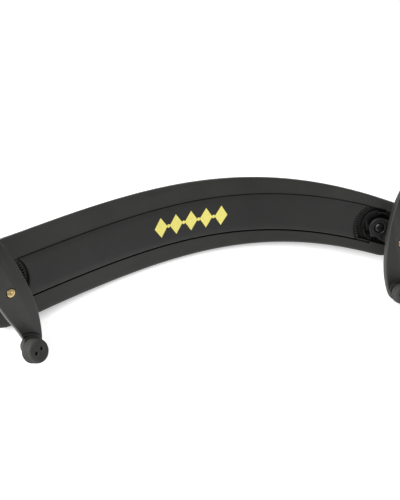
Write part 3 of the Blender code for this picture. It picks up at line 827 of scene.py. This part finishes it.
def make_clamp(tag, swivel):
    """Cross-head clamp screw: domed head with a tapered cross recess."""
    seat = CLAMP_SEAT + GAP
    top = LUG_TOP + 0.1
    profile = [(0.02, top), (0.9, top - 0.02), (1.5, top - 0.08), (2.0, top - 0.22), (2.35, top - 0.45),
               (2.55, top - 0.75), (CLAMP_HEAD_R, seat), (CLAMP_SHANK_R, seat), (CLAMP_SHANK_R, -BAR_T + 0.8),
               (CLAMP_SHANK_R - 0.3, -BAR_T + 0.4)]
    tools = []
    arm = [(-DRIVE_LONG, -DRIVE_WIDE), (DRIVE_LONG, -DRIVE_WIDE), (DRIVE_LONG, DRIVE_WIDE),
           (-DRIVE_LONG, DRIVE_WIDE)]
    for k in range(2):
        turn = swivel @ spin(45.0 + 90.0 * k)
        tools.append(("DIFFERENCE", plate("drive_%d" % k, arm, top - 1.0, top + 2.0, turn)))
    cone = [(0.95, top + 0.3), (0.8, top - 0.1), (0.25, top - 1.15)]
    tools.append(("DIFFERENCE", turned("drive_cone", cone, swivel, 24)))
    made = combine(turned("clamp_%s_piece" % tag, profile, swivel), tools)
    finished(made, steel_look, "clamp_" + tag, "clamp_screw_" + tag)


def make_disc(tag, swivel):
    """Swivel disc with its two raised ears."""
    disc = plate("disc_%s_piece" % tag, disc_outline(DISC_R), DISC_LOW, DISC_TOP, swivel, 0.3)
    hub = plate("hub", disc_outline(DISC_HUB_R), DISC_LOW + 0.5, DISC_HUB_TOP, swivel, 0.15)
    tools = [("UNION", hub)]
    outer = DISC_R - 0.4
    rim = arc(outer, EAR_FROM, EAR_TO, 20) + arc(outer - EAR_T, EAR_TO, EAR_FROM, 20)
    for k in (-1, 1):
        ear = plate("ear_%d" % k, [(x, k * y) for x, y in rim], DISC_TOP - 0.6, EAR_TOP, swivel, 0.25)
        tools.append(("UNION", ear))
    bore = CLAMP_SHANK_R + GAP
    tools.append(("DIFFERENCE", turned("disc_bore", [(bore, SHANK_OVER), (bore, -SHANK_OVER)], swivel)))
    finished(combine(disc, tools), disc_look, "swivel_" + tag, "swivel_disc_" + tag, 12.0)


def make_arm(tag, swivel, boss, reach):
    """Arm with its rounded boss and the counterbore for the clamp screw."""
    arm = plate("arm_%s_piece" % tag, lug_outline(reach), LUG_LOW, LUG_TOP, swivel, 0.45)
    tower = [(BUSH_R + 0.1, BOSS_TOP), (BOSS_R - 0.55, BOSS_TOP), (BOSS_R - 0.25, BOSS_TOP - 0.08),
             (BOSS_R - 0.08, BOSS_TOP - 0.25), (BOSS_R, BOSS_TOP - 0.55), (BOSS_R, LUG_LOW + 0.9),
             (BOSS_R - 0.4, LUG_LOW + 0.5)]
    head = CLAMP_HEAD_R + GAP
    shank = CLAMP_SHANK_R + GAP
    seat = [(head + 0.35, BORE_OVER), (head + 0.35, LUG_TOP), (head, LUG_TOP - 0.35), (head, CLAMP_SEAT),
            (shank, CLAMP_SEAT), (shank, -SHANK_OVER)]
    bore = BUSH_R + GAP
    tools = [("UNION", turned("boss", tower, boss)),
             ("DIFFERENCE", turned("bush_bore", [(bore, BORE_OVER), (bore, -BORE_OVER)], boss)),
             ("DIFFERENCE", turned("clamp_bore", seat, swivel))]
    finished(combine(arm, tools), arm_look, "swivel_" + tag, "arm_" + tag)


def make_bush(tag, boss):
    """Brass bush with small chamfers, pressed into the boss."""
    bore = SCREW_R + GAP
    low = LUG_LOW + 0.8
    top = BOSS_TOP + 0.2
    wall = [(bore + 0.2, top), (BUSH_R - 0.25, top), (BUSH_R, top - 0.25), (BUSH_R, low), (bore, low),
            (bore, top - 0.2)]
    made = turned("bush_%s_piece" % tag, wall, boss, closed=True)
    finished(made, brass_look, "swivel_" + tag, "arm_bush_" + tag)


def make_screw(tag, face, length):
    """Height screw: flush end with a centre dimple, plain neck, and a true one-start thread."""
    neck = -FORK_T - FORK_HUB_H - 0.5
    rows = int((length + neck) / SCREW_PITCH * THREAD_ALONG)
    head = [(0.05, SCREW_PROUD - 0.5), (0.3, SCREW_PROUD - 0.38), (0.62, SCREW_PROUD - 0.1),
            (0.75, SCREW_PROUD), (SCREW_R - 0.35, SCREW_PROUD), (SCREW_R - 0.1, SCREW_PROUD - 0.08),
            (SCREW_R, SCREW_PROUD - 0.3), (SCREW_R, neck)]
    rings = [[point] * THREAD_AROUND for point in head]
    for i in range(1, rows + 1):
        z = neck - i * SCREW_PITCH / THREAD_ALONG
        start = min(i / THREAD_ALONG, 1.0)
        tip = min((rows - i) / (0.7 * THREAD_ALONG), 1.0)
        ring = []
        for k in range(THREAD_AROUND):
            phase = (z / SCREW_PITCH - k / THREAD_AROUND) % 1.0
            crest = min(max(1.6 - 3.2 * abs(phase - 0.5), 0.0), 1.0)
            depth = (SCREW_R - SCREW_ROOT_R) * (1.0 - crest) * start + 0.5 * (1.0 - tip)
            ring.append((SCREW_R - depth, z))
        rings.append(ring)
    made = spun("screw_%s_piece" % tag, rings, face)
    finished(made, brass_look, "screw_" + tag, "height_screw_" + tag)


def make_foot(label, tag, post):
    """Rubber foot: soft-edged drum with moulded ribs round it and two holes in its end."""
    flat = FOOT_R - FOOT_ROUND
    profile = [(0.1, FOOT_LEN), (flat, FOOT_LEN)]
    for k in range(1, 7):
        a = math.radians(90.0 - 15.0 * k)
        profile.append((flat + 1.45 * math.cos(a), FOOT_LEN - 1.1 + 1.1 * math.sin(a)))
    pitch = (FOOT_LEN - 2.0) / FOOT_RIBS
    rib = ((0.12, 0.06), (0.24, 0.22), (0.34, 0.5), (0.46, 0.6), (0.58, 0.5), (0.68, 0.22), (0.8, 0.05),
           (0.94, 0.0))
    for k in range(FOOT_RIBS):
        z = FOOT_LEN - 1.2 - k * pitch
        profile += [(FOOT_R - off, z - part * pitch) for part, off in rib]
    profile += [(FOOT_R - 0.25, 0.3), (FOOT_R - 0.8, 0.0)]
    bore = PIN_R + GAP
    tools = [("DIFFERENCE", turned("pin_bore", [(bore, PIN_LEN + GAP), (bore, -2.0)], post @ spin(5.0), 40))]
    hole = [(FOOT_HOLE_R + 0.25, FOOT_LEN + 0.1), (FOOT_HOLE_R, FOOT_LEN - 0.2),
            (FOOT_HOLE_R - 0.1, PIN_LEN - 1.0)]
    for k in (-1, 1):
        place = post @ Matrix.Translation((k * FOOT_HOLE_AT, 0.0, 0.0)) @ spin(11.0)
        tools.append(("DIFFERENCE", turned("hole_%d" % k, hole, place, 24)))
    made = combine(turned("foot_%s_piece" % label, profile, post), tools)
    finished(made, rubber_look, "fork_" + tag, "foot_" + label, 40.0)


def make_fork(tag, face, side, foot_out):
    """Fork plate with rounded edges, its hub, and at each tip a collar and the foot's pin."""
    outline = smooth_outline(fork_outline(-side))
    fork = plate("fork_%s_piece" % tag, outline, -FORK_T, 0.0, face, FORK_BEVEL)
    hub_low = -FORK_T - FORK_HUB_H
    hub = [(FORK_HUB_R + 0.5, -1.0), (FORK_HUB_R + 0.45, -FORK_T - 0.1), (FORK_HUB_R + 0.1, -FORK_T - 0.4),
           (FORK_HUB_R, -FORK_T - 0.8), (FORK_HUB_R, hub_low + 0.5), (FORK_HUB_R - 0.15, hub_low + 0.15),
           (FORK_HUB_R - 0.5, hub_low)]
    tools = [("UNION", turned("hub", hub, face))]
    feet = []
    for k in (-1, 1):
        label = tag + ("_low" if k < 0 else "_high")
        base = Matrix.Translation((side * foot_out, k * FOOT_AT, FOOT_UP))
        tilt = spin(-side * FOOT_TILT_IN, "Y") @ spin(k * FOOT_TILT_MID, "X")
        post = face @ base @ tilt
        near = face @ Matrix.Translation((side * (foot_out - COLLAR_IN), k * COLLAR_AT, 0.0))
        collar = [(COLLAR_R, 6.0), (COLLAR_R, 0.3), (COLLAR_R + 0.1, 0.0), (COLLAR_R, -0.9),
                  (COLLAR_R - 0.4, -1.6), (COLLAR_R - 1.2, -2.2)]
        tools.append(("UNION", turned("collar", collar, near)))
        tools.append(("DIFFERENCE", turned("trim", [(FOOT_R + 3.0, 20.0), (FOOT_R + 3.0, -GAP)], post)))
        pin = [(PIN_R - 0.4, PIN_LEN), (PIN_R - 0.1, PIN_LEN - 0.15), (PIN_R, PIN_LEN - 0.5), (PIN_R, -2.0)]
        tools.append(("UNION", turned("pin", pin, post, 40)))
        feet.append((label, post))
    bore = SCREW_R + GAP
    tools.append(("DIFFERENCE", turned("bore", [(bore, 4.0), (bore, hub_low - 4.0)], face)))
    finished(combine(fork, tools), fork_look, "fork_" + tag, "fork_" + tag)
    for label, post in feet:
        make_foot(label, tag, post)


def smooth_outline(points):
    """Closed Catmull-Rom curve through the outline's points."""
    out = []
    n = len(points)
    for i in range(n):
        a, b, c, d = (Vector(points[(i + k) % n]) for k in (-1, 0, 1, 2))
        for part in range(FORK_FINE):
            t = part / FORK_FINE
            p = 0.5 * (2.0 * b + (c - a) * t + (2.0 * a - 5.0 * b + 4.0 * c - d) * t * t
                       + (3.0 * b - a - 3.0 * c + d) * t ** 3)
            out.append((p.x, p.y))
    return out


def make_end(tag, end):
    """Everything at one end but the bar's own cuts, which are returned with the strip's."""
    seat = pocket_frame(end)
    face = face_frame(end)
    axis = face.col[2].to_3d()
    normal = seat.col[2].to_3d()
    drop = (face.translation - seat.translation).dot(normal) / axis.dot(normal)
    crossing = face.translation - drop * axis
    local = seat.inverted() @ crossing
    reach = math.hypot(local.x, local.y)
    swivel = seat @ spin(math.degrees(math.atan2(local.y, local.x)))
    boss = face.copy()
    boss.translation = crossing
    make_clamp(tag, swivel)
    make_disc(tag, swivel)
    make_arm(tag, swivel, boss, reach)
    make_bush(tag, boss)
    make_screw(tag, face, end["screw"])
    make_fork(tag, face, end["side"], end["foot_out"])
    hollow = [(STRIP_ARC_R + 2.4, OVER), (STRIP_ARC_R + HOLLOW_LIP, STRIP_PROUD + 0.1),
              (STRIP_ARC_R, STRIP_PROUD - 0.5), (STRIP_ARC_R, -OVER)]
    return bar_cuts(tag, seat, reach), [("DIFFERENCE", turned("hollow_" + tag, hollow, seat, 180))]


wide_bar_cuts, wide_strip_cuts = make_end("wide", WIDE)
narrow_bar_cuts, narrow_strip_cuts = make_end("narrow", NARROW)
make_bar(wide_bar_cuts + narrow_bar_cuts)
make_strip(wide_strip_cuts + narrow_strip_cuts)
make_ornament()
make_foam()
for end_tag in ("wide", "narrow"):
    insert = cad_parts["bar_insert_" + end_tag]
    insert.data.materials.clear()
    insert.data.materials.append(brass_look)

# ------------------------------------------------------------------ floor, light and camera


def area_light(name, power, size, place, aim, size_y=None):
    data = bpy.data.lights.new(name, "AREA")
    data.energy = power
    data.size = size
    if size_y is not None:
        data.shape = "RECTANGLE"
        data.size_y = size_y
    obj = bpy.data.objects.new(name, data)
    bpy.context.scene.collection.objects.link(obj)
    obj.location = place
    obj.rotation_euler = (Vector(aim) - Vector(place)).to_track_quat("-Z", "Y").to_euler()
    return obj


def make_floor():
    mesh = bpy.data.meshes.new("floor")
    corners = [(-FLOOR_HALF, -FLOOR_HALF, 0.0), (FLOOR_HALF, -FLOOR_HALF, 0.0), (FLOOR_HALF, FLOOR_HALF, 0.0),
               (-FLOOR_HALF, FLOOR_HALF, 0.0)]
    mesh.from_pydata(corners, [], [(0, 1, 2, 3)])
    floor = linked("floor", mesh)
    floor.location.z = -FLOOR_DROP
    n = Nodes("floor_look")
    n.link(n.mix(n.noise(30.0, 3.0), (0.86, 0.86, 0.86), (0.9, 0.9, 0.9)), n.shader.inputs["Base Color"])
    n.shader.inputs["Roughness"].default_value = 0.9
    n.shader.inputs["Specular IOR Level"].default_value = 0.1
    n.shader.inputs["Emission Color"].default_value = (1.0, 1.0, 1.0, 1.0)
    n.shader.inputs["Emission Strength"].default_value = 0.4
    mesh.materials.append(n.mat)


make_floor()
world = bpy.data.worlds.new("studio")
world.use_nodes = True
world.node_tree.nodes["Background"].inputs["Color"].default_value = (1.0, 1.0, 1.0, 1.0)
world.node_tree.nodes["Background"].inputs["Strength"].default_value = WORLD_LIGHT
bpy.context.scene.world = world
bpy.context.scene.view_settings.view_transform = "Standard"
middle = (cad_box[0] + cad_box[1]) / 2.0
area_light("key", 9.2, 0.6, (-0.62, 0.0, 0.64), middle)
area_light("rim", 3.4, 0.12, (-0.7, 0.45, 0.5), middle, 0.9)

data = bpy.data.cameras.new("camera")
data.lens = LENS
data.sensor_width = 36.0
data.clip_start = 0.01
camera = bpy.data.objects.new("camera", data)
bpy.context.scene.collection.objects.link(camera)
yaw = math.radians(YAW)
pitch = math.radians(PITCH)
ahead = Vector((math.sin(yaw) * math.cos(pitch), math.cos(yaw) * math.cos(pitch), -math.sin(pitch)))
right = Vector((math.cos(yaw), -math.sin(yaw), 0.0))
up = right.cross(ahead)
look = Matrix((right, up, -ahead)).transposed().to_4x4()
look.translation = Vector(EYE)
camera.matrix_world = ROOT @ metres(look)
bpy.context.scene.camera = camera
